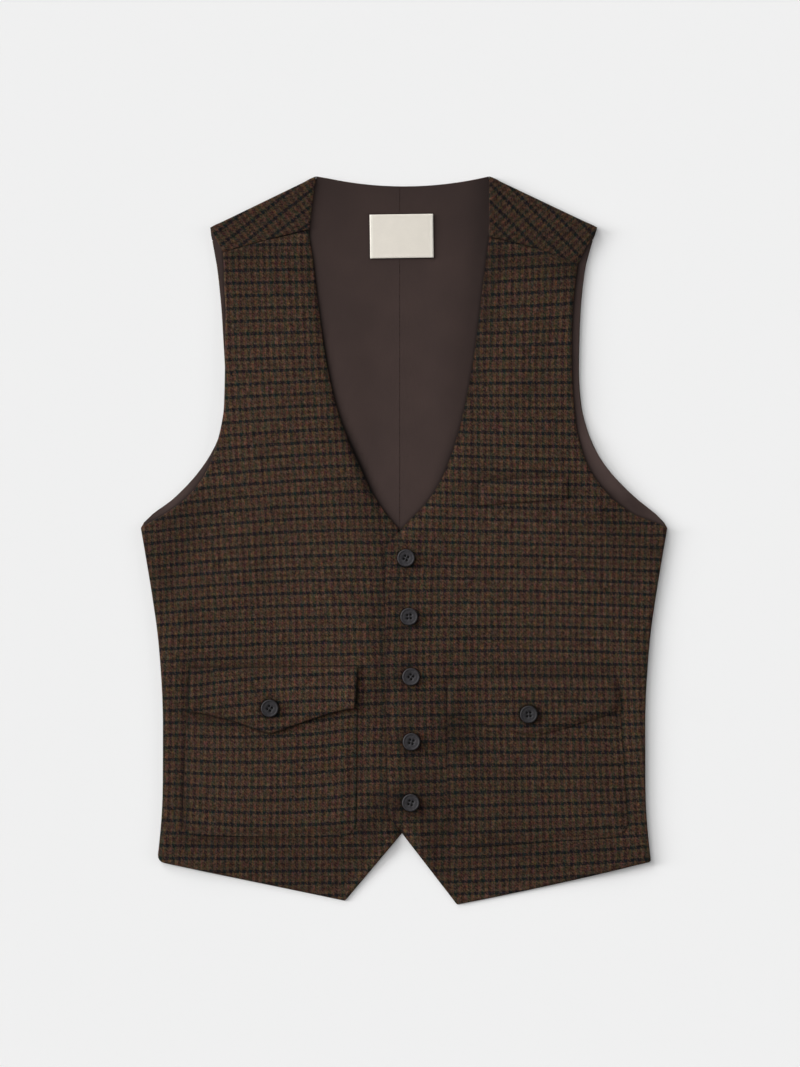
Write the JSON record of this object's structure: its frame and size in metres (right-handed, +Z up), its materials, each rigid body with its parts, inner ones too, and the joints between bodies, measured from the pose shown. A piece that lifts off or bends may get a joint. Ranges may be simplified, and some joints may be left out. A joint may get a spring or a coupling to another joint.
{
  "type": "suit waistcoat",
  "caption": "Checked wool suit waistcoat laid flat on its back and buttoned, with a V neck, flapped patch pockets, a chest welt and a dark lining.",
  "frame": {"origin": "centre of the garment's outline, on the surface that it lies on", "axes": "+X to the wearer's left, +Y up the garment to the neck, +Z up from the surface, out of the fronts"},
  "size_m": [0.482, 0.667, 0.0128],
  "materials": {
    "wool": "woolly check in brown, dark green, maroon and navy",
    "lining": "plain dark brown lining with a soft sheen",
    "label": "cream woven tape, blank",
    "button": "dark horn look, satin"
  },
  "bodies": {
    "root": {"back": "wool", "lining_right": "lining", "lining_left": "lining", "front_right": "wool", "front_left": "wool", "yoke_right": "wool", "yoke_left": "wool", "pocket_right": "wool", "pocket_left": "wool", "flap_right": "wool", "flap_left": "wool", "chest_welt": "wool", "label": "label", "button_1": "button", "button_2": "button", "button_3": "button", "button_4": "button", "button_5": "button", "button_flap_right": "button", "button_flap_left": "button"}
  },
  "joints": []
}
